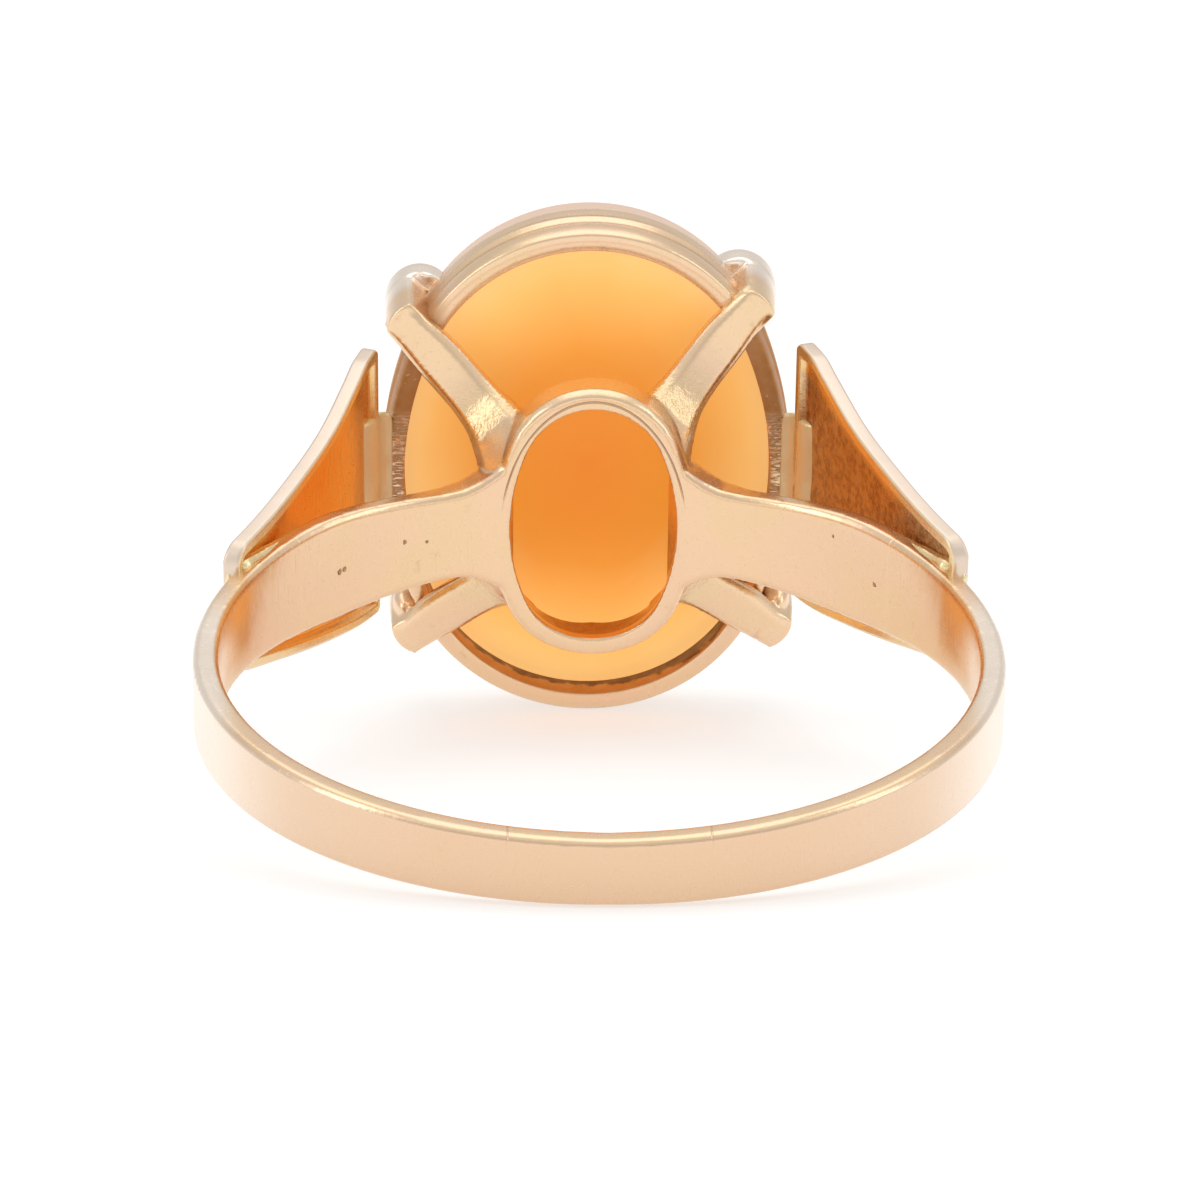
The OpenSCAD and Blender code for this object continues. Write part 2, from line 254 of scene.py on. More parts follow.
class Finish:
    """A material whose patterns are measured in the ring's own millimetres."""

    def __init__(self, name):
        self.material = bpy.data.materials.new(name)
        self.material.use_nodes = True
        self.tree = self.material.node_tree
        self.surface = self.tree.nodes["Principled BSDF"]
        place = self.node("ShaderNodeTexCoord", {}, {}, "Object")
        in_mm = (1 / MM, 1 / MM, 1 / MM)
        stand_up = {"Vector": place, "Rotation": (-rest_tilt, 0, 0), "Scale": in_mm}
        self.place = self.node("ShaderNodeMapping", {}, stand_up)
        self.x, self.y, self.z = (
            self.node("ShaderNodeSeparateXYZ", {}, {0: self.place}, i) for i in range(3)
        )

    def node(self, kind, settings, values, output=0):
        """Adds a node with its settings and inputs, and gives one of its outputs."""
        made = self.tree.nodes.new(kind)
        for key, value in settings.items():
            if key == "stops":
                while len(made.color_ramp.elements) < len(value):
                    made.color_ramp.elements.new(1)
                for element, (position, colour) in zip(made.color_ramp.elements, value):
                    element.position, element.color = position, colour
            else:
                setattr(made, key, value)
        for key, value in values.items():
            if isinstance(value, Reading):
                self.tree.links.new(value.socket, made.inputs[key])
            else:
                made.inputs[key].default_value = value
        return Reading(self, made.outputs[output])

    def mixed(self, share, first, second):
        """One colour laid over another."""
        settings = {"data_type": "RGBA"}
        first, second = (c if isinstance(c, Reading) else (*c, 1) for c in (first, second))
        return self.node("ShaderNodeMix", settings, {0: share, 6: first, 7: second}, 2)

    def grain(self, size, detail=2.0, stretch=(1, 1, 1), rough=0.5, place=None):
        """Noise from 0 to 1, with spots about this many millimetres across."""
        spread = {0: place or self.place, 1: stretch}
        spread = self.node("ShaderNodeVectorMath", {"operation": "MULTIPLY"}, spread)
        values = {"Vector": spread, "Scale": 1 / size, "Detail": detail, "Roughness": rough}
        return self.node("ShaderNodeTexNoise", {}, values)

    def painted(self, name):
        """A value that the piece's points carry."""
        return self.node("ShaderNodeAttribute", {"attribute_name": name}, {}, 2)

    def set(self, **values):
        """Sets or links inputs of the surface, by their names."""
        for key, value in values.items():
            socket = self.surface.inputs["IOR" if key == "ior" else key.replace("_", " ").title()]
            if isinstance(value, Reading):
                self.tree.links.new(value.socket, socket)
            else:
                socket.default_value = value


ROSE = (0.87, 0.62, 0.42)
YELLOW = (0.86, 0.645, 0.36)
SHEEN_PALE = (0.97, 0.85, 0.73)
PALM_SHADE_ROSE = (0.79, 0.55, 0.37)
SOLDER_GOLD = (0.80, 0.62, 0.33)
TARNISH_AND_SHADE = (0.34, 0.17, 0.075)


def worn_gold_and_sheen(name, tarnished=0.25):
    """Rose gold with yellower patches, fine scratches and a little tarnish, with a painted
    reflection and painted shade on the band's outer face.
    """
    finish = Finish(name)
    patches = finish.grain(2.2, 3).ramp(0.35, 0.7)
    colour = finish.mixed(patches * 0.5, ROSE, YELLOW)
    film = finish.grain(0.5, 4, rough=0.65).ramp(0.62, 0.8)
    colour = finish.mixed(film * tarnished, colour, TARNISH_AND_SHADE)
    scratches = finish.grain(0.045, 1, (1, 1, 0.04)).ramp(0.68, 0.74)
    for turn, stretch in ((0.5, (0.03, 1, 1)), (-0.9, (1, 1, 0.03)), (2.0, (0.05, 1, 1))):
        turned = {"Vector": finish.place, "Rotation": (turn, turn, 0.3)}
        turned = finish.node("ShaderNodeMapping", {}, turned)
        scratches = scratches.most(finish.grain(0.06, 1, stretch, place=turned).ramp(0.71, 0.76))
    cloud = finish.grain(1.1, 3)
    # The band's outer face and cut edges are painted pale at the ring's sides as a painted
    # reflection, and the outer face is painted dull at the palm as painted shade
    finish.from_bore = (finish.x**2 + finish.y**2) ** 0.5
    outer = finish.from_bore.ramp(BAND_R - 0.07, BAND_R - 0.01) * finish.y.ramp(3.5, 0.5)
    edge = finish.from_bore.ramp(BORE_R + 0.07, BORE_R + 0.15) * finish.y.ramp(3, 1)
    pale = (outer * abs(finish.x).ramp(3, 8)).most(edge * abs(finish.x).ramp(8, 8.8))
    colour = finish.mixed(pale * (0.8 + 0.2 * cloud), colour, SHEEN_PALE)
    finish.colour = finish.mixed(outer * finish.y.ramp(-3, -7) * 0.8, colour, PALM_SHADE_ROSE)
    finish.roughness = 0.19 + cloud * 0.1 + scratches * 0.08
    finish.set(metallic=1.0, roughness=finish.roughness)
    finish.height = finish.grain(0.45, 2) * 0.3 - scratches * 0.04
    return finish


def dressed(finish, height, depth_mm, colour):
    """Sets a finish's colour and the relief that is too fine to model."""
    bump = {"Strength": 1.0, "Distance": depth_mm * MM, "Height": height}
    finish.set(base_color=colour, normal=finish.node("ShaderNodeBump", {}, bump))
    return finish.material


# claw: side, upper or lower, turn from 45 degrees, sideways shift, the petal's own sideways shift
# and radius
CLAWS = [
    (-1, 1, -1.5, -0.13, 0.09, 0.88), (1, 1, 3.0, 0.17, -0.04, 0.93),
    (-1, -1, -1.0, 0.0, 0.0, 0.93), (1, -1, -3.5, 0.0, 0.0, 0.93),
]
# share of the way from gallery to petal: share of the rise, then half width
CLAW_RISES = [(0.0, -0.35), (0.14, 0.18), (0.38, 0.55), (0.68, 0.82), (1.0, 1.0)]
CLAW_WIDTHS = [
    (0.0, 0.92), (0.1, 0.78), (0.2, 0.66), (0.35, 0.61), (0.6, 0.6), (0.85, 0.51), (1.0, 0.46),
]
CLAW_DEPTHS = [(0.0, 1.1), (0.12, 0.7), (0.3, 0.45), (1.0, 0.45)]
CLAW_T = 0.45
CLAW_ROOT_SINK = 0.22
CLAW_PAST_PETAL = 0.7
BAR_OUTLINE = [(0, -1, -0.7), (0, -0.2, -1), (0, 1, -1), (0, 1, 1), (0, -0.2, 1), (0, -1, 0.7)]
GALLERY_HOLE = (2.025, 3.075)
GALLERY_SHIFT = 0.04
GALLERY_FLARE = 0.24
GALLERY_RIM = 0.5
GALLERY_FRONT = 9.85
SHELL_OVAL = (4.85, 6.35)
BEZEL_BACK = 11.7
SHELL_EDGE = 14.2
PETAL_RISE = 0.5
PETAL_WALL = 0.4
# lower side, where it flares, and upper side of the stem under each petal
STEM_SIDES = (-0.5, 0.42)
END_ANGLE = 13.5

carrier = bmesh.new()

# The band's strip, open where the gallery is, and its ends shaped to the gallery's rim
half_strip = [
    (BAND_R, 0.44), (BAND_R, 0.87), (BAND_R - 0.13, 1),
    (BORE_R + 0.1, 1), (BORE_R, 0.9), (BORE_R, 0.45),
]
strip = [(BAND_R, 0, 0)] + [(r, 0, z) for r, z in half_strip]
strip += [(BORE_R, 0, 0)] + [(r, 0, -z) for r, z in reversed(half_strip)]
points, edges = closed_line(carrier, strip)
carrier.faces.new(points)
to_end = Matrix.Rotation(math.radians(90 + END_ANGLE), 3, "Z")
bmesh.ops.rotate(carrier, cent=(0, 0, 0), matrix=to_end, verts=points)
round_finger = math.radians(360 - 2 * END_ANGLE)
swing = bmesh.ops.spin(
    carrier, geom=edges, cent=(0, 0, 0), axis=(0, 0, 1), angle=round_finger, steps=420
)
bmesh.ops.edgeloop_fill(carrier, edges=edges_in(swing["geom_last"]))
for v in carrier.verts:
    from_head = math.degrees(math.atan2(abs(v.co.x), v.co.y))
    level = 90 - from_head
    radius = math.hypot(v.co.x, v.co.y)
    if radius > 9:
        radius += float(eased(BAND_RISES, level))
    half_w = float(eased(BAND_WIDTHS, level))
    height = v.co.z * half_w
    side = math.copysign(1, v.co.x)
    bow = math.sqrt(max(0.0, 1 - (height / 3.3) ** 2))
    wanted = math.degrees(math.asin(2.28 * bow / radius))
    pull = max(0.0, 1 - (from_head - END_ANGLE) / 12)
    angle = math.radians(from_head + (wanted - END_ANGLE) * pull)
    v.co = (side * radius * math.sin(angle), radius * math.cos(angle), height)

# The gallery: an oval ring whose finger side follows the finger
# out from the hole's edge, then height above the finger's side where it is under 1, and level where
# it is over 9
GALLERY_PROFILE = [
    (0.04, 0), (0.38, 0), (0.5, 0.2), (0.5, 9.75), (0.42, 9.85), (0.08, 9.85), (0, 9.77), (0, 0.05),
]
for v, out, around in ring(carrier, GALLERY_PROFILE):
    if v.co.y > 9 and out < 0.2:
        out += GALLERY_FLARE * abs(math.cos(around))
    x, z = on_oval(*GALLERY_HOLE, around, out)
    x += GALLERY_SHIFT
    y = v.co.y if v.co.y > 9 else math.sqrt(BORE_R**2 - x**2) + v.co.y
    v.co = (x, y, z)

for side, up, turn, shift, petal_shift, petal_r in CLAWS:
    place = (
        Matrix.Diagonal((side, 1, up, 1))
        @ Matrix.Rotation(-math.radians(45 + turn), 4, "Y")
        @ Matrix.Translation((0, 0, shift))
    )
    x, z = on_oval(*GALLERY_HOLE, math.radians(38), GALLERY_RIM / 2)
    root = math.hypot(x, z) - CLAW_ROOT_SINK
    x, z = on_oval(*SHELL_OVAL, math.radians(37 - turn))
    petal_reach = math.hypot(x, z)
    tip = petal_reach + CLAW_PAST_PETAL
    frames = []
    for share in [i / 40 * 0.96 for i in range(41)] + [1]:
        reach = root + share * (tip - root)
        level = GALLERY_FRONT + float(eased(CLAW_RISES, share)) * (BEZEL_BACK - GALLERY_FRONT)
        width = float(eased(CLAW_WIDTHS, share))
        depth = float(eased(CLAW_DEPTHS, share))
        section = Matrix.Diagonal((1, depth / 2, width, 1))
        frames.append(place @ Matrix.Translation((reach, level, 0)) @ section)
    frames[-1] = frames[-1] @ Matrix.Translation((0, 0.6, 0)) @ Matrix.Diagonal((1, 0.4, 0.9, 1))
    swept(carrier, BAR_OUTLINE, frames)

    # The petal: a hollow bud over the stone's edge, and the stem that carries it from the bar
    equator = SHELL_EDGE + PETAL_RISE - petal_r
    skirt = SHELL_EDGE - petal_r
    foot = BEZEL_BACK - CLAW_T / 2
    inner_r = petal_r - PETAL_WALL
    arc = [math.radians(a) for a in range(0, 85, 6)] + [math.radians(89)]
    dome = [(petal_r * math.cos(a), equator + petal_r * math.sin(a)) for a in arc]
    hollow = [(inner_r * math.cos(a), equator + inner_r * math.sin(a)) for a in reversed(arc)]
    petal = [(petal_r, skirt)] + dome + hollow + [(inner_r, skirt)]
    stem = [(0, foot), (0.8, foot), (petal_r, equator), (inner_r, equator), (0.35, 13.0), (0, 12.9)]
    over_petal = place @ Matrix.Translation((petal_reach, 0, petal_shift))
    for profile in (petal, stem):
        bud = bmesh.new()
        spun(bud, [(r, y, 0) for r, y in profile], steps=48)
        if profile is stem:
            bmesh.ops.remove_doubles(bud, verts=bud.verts, dist=0.001)
            closed_cut(bud, (0, 0, 0), (-1, 0, 0))
            closed_cut(bud, (0, foot, STEM_SIDES[0]), (0, -0.4, -(skirt - foot)))
            closed_cut(bud, (0, foot, STEM_SIDES[1]), (0, 0, 1))
        bmesh.ops.transform(bud, matrix=over_petal, verts=bud.verts)
        bmesh.ops.recalc_face_normals(bud, faces=bud.faces)
        part = bpy.data.meshes.new("bud")
        bud.to_mesh(part)
        bud.free()
        carrier.from_mesh(part)
        bpy.data.meshes.remove(part)

    if up < 0:
        # Solder run down between the stem and the stone's wall
        run = bmesh.ops.create_icosphere(carrier, subdivisions=3, radius=1)["verts"]
        fill = place @ Matrix.Translation((petal_reach + 0.1, 12.3, -0.35))
        fill = fill @ Matrix.Diagonal((0.35, 0.75, 0.55, 1))
        bmesh.ops.transform(carrier, matrix=fill, verts=run)

carrier = melted(carrier, 0.06, 3)

STAIN = (0.78, 0.42, 0.13)
PAINTED_PETAL_SHEEN = (1.0, 0.90, 0.80)
# small pits in the band's inner face: place, radius
PITS = [
    ((-6.13, 6.25, -0.08), 0.09), ((-6.02, 6.36, -0.05), 0.07), ((-4.57, 7.46, 0.16), 0.06),
    ((-4.04, 7.76, 0.03), 0.05), ((6.74, 5.57, -0.09), 0.07), ((5.79, 6.56, 0.75), 0.05),
]
gold = worn_gold_and_sheen("worn_gold_and_sheen")
from_middle = (gold.x**2 + gold.z**2) ** 0.5
from_hole_x = gold.x - GALLERY_SHIFT
hole_wall = (from_hole_x / GALLERY_HOLE[0]) ** 2 + (gold.z / GALLERY_HOLE[1]) ** 2
hole_wall = hole_wall.ramp(1.22, 1.12) * gold.y.ramp(8.95, 9.1) * gold.z.ramp(0.5, -1.0)
roots = from_middle.ramp(4.6, 3.2) * gold.y.ramp(9.6, 10.0) * (1 - gold.x.ramp(3, 3.6))
cast_skin = gold.grain(0.16, 3, rough=0.7)
# Painted highlight: the petals are painted pale, fading out towards the front
petal_sheen = gold.y.ramp(12.3, 13.0) * gold.y.ramp(14.3, 13.7)
carrier_colour = gold.mixed(petal_sheen * 0.8, gold.colour, PAINTED_PETAL_SHEEN)
carrier_colour = gold.mixed(roots * (0.35 + 0.4 * cast_skin), carrier_colour, SOLDER_GOLD)
hole_wall = hole_wall * (0.4 + 0.6 * gold.grain(0.25, 3))
carrier_colour = gold.mixed(hole_wall, carrier_colour, TARNISH_AND_SHADE)
# A fine line round the upper half of the gallery's face, where the strip's edge was soldered on
SEAM_OVAL = (2.27, 3.31)
seam = ((from_hole_x / SEAM_OVAL[0]) ** 2 + (gold.z / SEAM_OVAL[1]) ** 2) ** 0.5
seam = abs(seam - 1).ramp(0.012, 0.004) * gold.y.ramp(9.0, 8.9) * gold.z.ramp(0.4, 1.4)
# Painted shade: the lower claws' stems are darkened on the side that faces the middle
shaded_stems = gold.z.ramp(-2.6, -3.0) * from_middle.ramp(5.8, 5.6)
shaded_stems = shaded_stems * gold.y.ramp(11.8, 12.1) * gold.y.ramp(13.2, 12.9)
carrier_colour = gold.mixed((seam * 0.6).most(shaded_stems * 0.8), carrier_colour, TARNISH_AND_SHADE)
# The far ends of the band's inner face are stained orange where the shoulders are soldered outside
stain = gold.from_bore.ramp(8.95, 8.8) * abs(gold.x + 0.02).ramp(8.1, 8.25)
stain = stain * gold.y.ramp(0.6, 1.6) * gold.z.ramp(-0.9, -0.3)
carrier_colour = gold.mixed(stain * 0.6, carrier_colour, STAIN)
pit_marks = None
for spot, reach in PITS:
    from_pit = {0: gold.place, 1: spot}
    from_pit = gold.node("ShaderNodeVectorMath", {"operation": "DISTANCE"}, from_pit, 1)
    pit = (from_pit + (gold.grain(0.08, 2) - 0.5) * 0.1).ramp(reach, reach * 0.4)
    pit_marks = pit if pit_marks is None else pit_marks.most(pit)
carrier_colour = gold.mixed(pit_marks * 0.8, carrier_colour, TARNISH_AND_SHADE)
carrier_height = gold.height + roots * cast_skin * 1.5 - pit_marks * 2 - seam
gold_material = dressed(gold, carrier_height, 0.02, carrier_colour)

# The skin is parted across the band, out of the way of the head, to keep each piece light
PART_LINE = (0, 5.2, 0)
lower = carrier.copy()
closed_cut(lower, PART_LINE, (0, 1, 0))
closed_cut(carrier, PART_LINE, (0, -1, 0))
finished(lower, "band", gold_material)
finished(carrier, "gallery_and_claws", gold_material)


# Bezel. A thin drawn strip bent round the shell and soldered at its ends. It has a moulded outer
# face, a front lip burnished over the stone and a narrow ledge behind it, whose back was filed flat
# by hand.
# out from the shell's oval, level
BEZEL_PROFILE = [
    (-0.31, 11.70), (-0.28, 11.67), (0.07, 11.67), (0.115, 11.70), (0.15, 11.80), (0.175, 11.95),
    (0.19, 12.1), (0.185, 12.22), (0.165, 12.32), (0.16, 12.42), (0.175, 12.5), (0.215, 12.55),
    (0.235, 12.62), (0.225, 12.69), (0.20, 12.74), (0.205, 12.85), (0.215, 13.0), (0.21, 13.15),
    (0.185, 13.26), (0.14, 13.30), (0.07, 13.29), (0.05, 13.25), (0.05, 12.46), (-0.28, 12.45),
    (-0.31, 12.42),
]
LEDGE_OUT = -0.29


def by_hand(x, z):
    """The shell was ground by eye: its left side and its top stand out a little."""
    left = np.minimum(x, 0) / SHELL_OVAL[0]
    top = np.maximum(z, 0) / SHELL_OVAL[1]
    return x - 0.12 * left**2, z + 0.07 * top**2


bezel = bmesh.new()
ledge_wall = bezel.verts.layers.float.new("ledge")
for v, out, around in ring(bezel, BEZEL_PROFILE, steps=640):
    x, z = by_hand(*on_oval(*SHELL_OVAL, around, out))
    v[ledge_wall] = float(out < LEDGE_OUT)
    v.co = (x, v.co.y, z)
bmesh.ops.recalc_face_normals(bezel, faces=bezel.faces)
OLD_POLISH = (0.45, 0.18, 0.035)
LEDGE_BROWN = (0.62, 0.25, 0.05)
GAP_SHADOW = (0.17, 0.06, 0.012)
bezel_gold = worn_gold_and_sheen("bezel_gold", 0.3)
at_sides = abs(bezel_gold.x).ramp(3.4, 4.1)
back_rim = at_sides * bezel_gold.y.ramp(13.15, 12.8) * bezel_gold.z.ramp(-2.6, -1.6)
filed = bezel_gold.z.ramp(-1.4, -0.6) * bezel_gold.z.ramp(1.9, 1.5)
filed = filed * bezel_gold.y.ramp(11.9, 11.7) * at_sides
ledge = bezel_gold.grain(0.35, 3) * 0.6 + bezel_gold.z.ramp(0, -3) * 0.5 + 0.15
ledge = bezel_gold.painted("ledge") * ledge
file_marks = bezel_gold.grain(0.1, 1, (0.4, 0.4, 1.8)).ramp(0.42, 0.6)
specks = bezel_gold.grain(0.13, 2).ramp(0.68, 0.74)
brown = back_rim * (1 - filed) * (0.75 + 0.3 * bezel_gold.grain(0.3, 3) - specks * 0.6)
brown = brown + filed * file_marks * 0.7
bezel_colour = bezel_gold.mixed(brown, bezel_gold.colour, OLD_POLISH)
# Painted shadow lies along the ledge's inner edge, in the gap against the shell, thicker to the
# right
ledge_depth = bezel_gold.y + (bezel_gold.grain(0.35, 3) - 0.5) * 0.6
ledge_depth = ledge_depth + bezel_gold.x.ramp(0.5, 3) * 0.35
ledge_colour = bezel_gold.mixed(ledge_depth.ramp(12.1, 12.25), LEDGE_BROWN, GAP_SHADOW)
bezel_colour = bezel_gold.mixed(ledge, bezel_colour, ledge_colour)
brown = brown.most(ledge)
bezel_gold.set(metallic=1 - brown * 0.8, roughness=bezel_gold.roughness + brown * 0.25)
bezel_height = bezel_gold.height + filed * file_marks * 1.5
finished(bezel, "bezel", dressed(bezel_gold, bezel_height, 0.03, bezel_colour))


# Fan shoulders. Two bowed plates of gold sheet, cut like open fans, with their inner faces hollowed
# and a rim left round them. Each is soldered to the band's side at its foot and to the bezel at its
# broad end.
FAN_HALF_H = 3.525
FAN_T = 0.42
FAN_BOW = 0.25
FAN_PAST_FOOT = 0.25
FAN_EDGE_R = 0.09
FAN_RIM = 0.24
HOLLOW_SLOPE = 0.16
HOLLOW_DEPTH = 0.18
FAN_FOOT = Vector((8.742, 3.892, 0))
FAN_TIP = Vector((5.655, 11.525, 0))
# share of the way from foot to head side: share of the half height
FAN_TOP = [
    (0.0, 0.45), (0.2, 0.53), (0.4, 0.63), (0.6, 0.74), (0.8, 0.915), (0.9, 1.0), (1.0, 1.02),
]
LEFT_BASE = [
    (0.0, 0.45), (0.2, 0.57), (0.4, 0.70), (0.6, 0.825), (0.8, 0.945), (0.9, 0.995), (1.0, 1.04),
]
RIGHT_BASE = [
    (0.0, 0.42), (0.2, 0.53), (0.4, 0.65), (0.6, 0.765), (0.8, 0.875), (0.9, 0.915), (1.0, 0.94),
]
RIGHT_LIFT = 0.28
# side, lift, how far the broad end leans to the head, lower outline
SHOULDERS = [(-1, 0.105, 0.02, LEFT_BASE), (1, RIGHT_LIFT, 0.2, RIGHT_BASE)]


def fan(side, lift, lean, base, material):
    """One shoulder, from a grid bent to the plate's face."""
    bm = bmesh.new()
    hollowed = bm.verts.layers.float.new("hollowed")
    cut_edge = bm.verts.layers.float.new("cut_edge")
    rim_face = bm.verts.layers.float.new("rim_face")
    bmesh.ops.create_grid(bm, x_segments=110, y_segments=110, size=1)
    inner_face = set(points_in(bmesh.ops.extrude_face_region(bm, geom=bm.faces[:])["geom"]))
    foot = FAN_FOOT - (FAN_TIP - FAN_FOOT).normalized() * FAN_PAST_FOOT
    chord = FAN_TIP - foot
    length = chord.length
    inward = Vector((-chord.y, chord.x, 0)).normalized()
    for v in bm.verts:
        s = 0.5 + 0.5 * math.sin(math.pi / 2 * v.co.x)
        t = math.sin(math.pi / 2 * v.co.y)
        half_h = FAN_HALF_H * float(eased(FAN_TOP if t > 0 else base, s))
        to_foot, to_tip = s * length, (1 - s) * length
        for near, corner in ((to_tip, 0.3), (to_foot, 0.5)):
            if near < corner:
                half_h -= corner - math.sqrt(corner**2 - (corner - near) ** 2)
        inside = min((1 - abs(t)) * half_h * 0.95, to_foot, to_tip)
        r = FAN_EDGE_R
        edge = r - math.sqrt(r * r - (r - inside) ** 2) if inside < r else 0.0
        if v in inner_face:
            hollow = min(1.0, max(0.0, (inside - FAN_RIM) / HOLLOW_SLOPE))
            depth = FAN_T - edge - HOLLOW_DEPTH * hollow * hollow * (3 - 2 * hollow)
            v[hollowed] = hollow
            v[rim_face] = 1 - hollow
        else:
            depth = edge
        v[cut_edge] = max(0.0, 1 - inside / 0.1)
        bow = FAN_BOW * 4 * s * (1 - s)
        spot = foot + chord * s + inward * (bow + depth)
        v.co = (side * (spot.x - lean * s**4), spot.y, t * half_h + lift)
    bmesh.ops.recalc_face_normals(bm, faces=bm.faces)
    finished(bm, "fan_left" if side < 0 else "fan_right", material)


RIM_HIGHLIGHT_GOLD = (0.94, 0.79, 0.46)
CUT_GOLD = (0.76, 0.64, 0.55)
SHELL_REFLECTION_ORANGE = (0.88, 0.47, 0.10)
BROWN_FILM = (0.32, 0.15, 0.06)
fan_gold = worn_gold_and_sheen("fan_gold", 0.2)
inside = fan_gold.painted("hollowed")
pits = fan_gold.grain(0.25, 4, rough=0.7)
# The right one's hollow is brown with old polish, but for a strip along its upper rim; that strip
# and the left one's hollow are painted orange as a painted reflection of the shell
strip = (fan_gold.z - RIGHT_LIFT) / FAN_HALF_H - (FAN_FOOT.x - fan_gold.x) * 0.19
strip = strip.ramp(0.1, 0.2) * fan_gold.x.ramp(7.6, 7.0)
dull = inside * fan_gold.x.ramp(0, 1) * (1 - strip)
shell_reflection = inside * (fan_gold.x.ramp(1, 0)).most(strip)
cut_edge = fan_gold.painted("cut_edge")
# The rim round each hollow is painted a pale yellow as a painted highlight
fan_colour = fan_gold.mixed(fan_gold.painted("rim_face") * 0.7, fan_gold.colour, RIM_HIGHLIGHT_GOLD)
fan_colour = fan_gold.mixed(cut_edge * 0.85, fan_colour, CUT_GOLD)
fan_gold.set(roughness=fan_gold.roughness + cut_edge * 0.15)
fan_colour = fan_gold.mixed(shell_reflection * 0.8, fan_colour, SHELL_REFLECTION_ORANGE)
fan_colour = fan_gold.mixed(dull * (0.56 + pits.ramp(0.4, 0.65) * 0.38), fan_colour, BROWN_FILM)
fan_colour = fan_gold.mixed(dull * pits.ramp(0.66, 0.72) * 0.5, fan_colour, YELLOW)
fan_material = dressed(fan_gold, fan_gold.height - dull * pits * 1.2, 0.03, fan_colour)
for side, lift, lean, base in SHOULDERS:
    fan(side, lift, lean, base, fan_material)


# Solder. Paler and yellower gold than the rest, left lumpy where it was run between each fan and
# the bezel and round the fans' feet.
# The run beside the bezel, seen along the finger: over the fan's inner face and lip, and back
# behind them
FILLET = [
    (5.87, 10.44), (5.73, 10.64), (5.55, 10.78), (5.41, 10.94), (5.30, 11.17), (5.23, 11.36),
    (5.11, 11.51), (4.94, 11.63), (4.98, 12.15), (5.12, 12.13), (5.3, 12.0), (5.5, 11.75),
    (5.66, 11.45), (5.78, 11.15),
]
FILLET_MIDDLE = (5.3, 11.3)
# places of the run's two ends along the finger, and its number of steps
FILLET_ENDS = (-1.8, 1.85)
FILLET_STEPS = 24
STREAK_STEPS = 16
FOOT_LUMP = (8.68, 3.8, 0.05)
FOOT_LUMP_REACH = (0.15, 0.36, 1.15)


def blob(bm, place, reach, seed, squareness):
    """One lump of solder, wavy from its seed."""
    made = bmesh.ops.create_icosphere(bm, subdivisions=4, radius=1)["verts"]
    for v in made:
        wave = noise.noise(v.co * 1.6 + Vector((seed, 0, 0))) * 0.12
        wave += noise.noise(v.co * 4 + Vector((0, seed, 0))) * 0.06
        full = Vector(math.copysign(abs(c) ** (1 / squareness), c) for c in v.co)
        v.co = Vector(place) + Vector(a * b for a, b in zip(full * (1 + wave), reach))


solder = bmesh.new()
circle = [(math.cos(a), 0, math.sin(a)) for a in np.arange(12) * math.tau / 12]
for side, _, lean, _ in SHOULDERS:
    mid_x, mid_y = FILLET_MIDDLE
    frames = []
    for i in range(FILLET_STEPS + 1):
        level = FILLET_ENDS[0] + (FILLET_ENDS[1] - FILLET_ENDS[0]) * i / FILLET_STEPS
        full = 1 - 0.12 * max(0, abs(i - 12) - 10) / 2
        middle = Matrix.Translation((side * (mid_x - lean * 0.8), mid_y, level))
        frames.append(middle @ Matrix.Diagonal((side * full, full, 1, 1)))
    for v in swept(solder, [(px - mid_x, py - mid_y, 0) for px, py in FILLET], frames):
        v.co.y -= max(0, v.co.y - 11.5) * (abs(v.co.z) / 2) ** 3
        v.co.y += 0.04 * noise.noise(v.co * 1.7) + 0.02 * noise.noise(v.co * 5)

    # A streak up the corner between the band and the fan, and a lump behind the fan's foot
    frames = []
    for i in range(STREAK_STEPS):
        spot = Matrix.Translation((side * (8.42 - 0.095 * i), 3.75 + 0.155 * i, 1.16 - 0.005 * i))
        thick = (0.23 - 0.007 * i) * (1 + 0.15 * noise.noise(Vector((i * 0.4, side, 0))))
        thick *= 0.7 if i in (0, STREAK_STEPS - 1) else 1
        frames.append(spot @ Matrix.Rotation(side * 0.545, 4, "Z") @ Matrix.Scale(thick, 4))
    swept(solder, circle, frames)
    blob(solder, (side * FOOT_LUMP[0], *FOOT_LUMP[1:]), FOOT_LUMP_REACH, 13 * side, 1.4)
solder = melted(solder, 0.05, 3)
PALE_SOLDER = (0.88, 0.76, 0.44)
solder_gold = worn_gold_and_sheen("solder_gold", 0.3)
lumps = solder_gold.grain(0.2, 3)
solder_colour = solder_gold.mixed(0.5 + lumps * 0.4, solder_gold.colour, PALE_SOLDER)
dulled = solder_gold.y.ramp(9, 10)
solder_gold.set(metallic=1 - dulled * 0.5, roughness=solder_gold.roughness + dulled * 0.12)
solder_material = dressed(solder_gold, solder_gold.height + lumps, 0.015, solder_colour)
finished(solder, "solder", solder_material)


# Cameo. One oval of helmet shell with a flat polished back of clear orange, and a domed front where
# the white outer layer was carved away round a lady's bust.
SHELL_BACK = 12.5
DOME = 1.0
RELIEF = 0.5
SHELL_GRID = 270
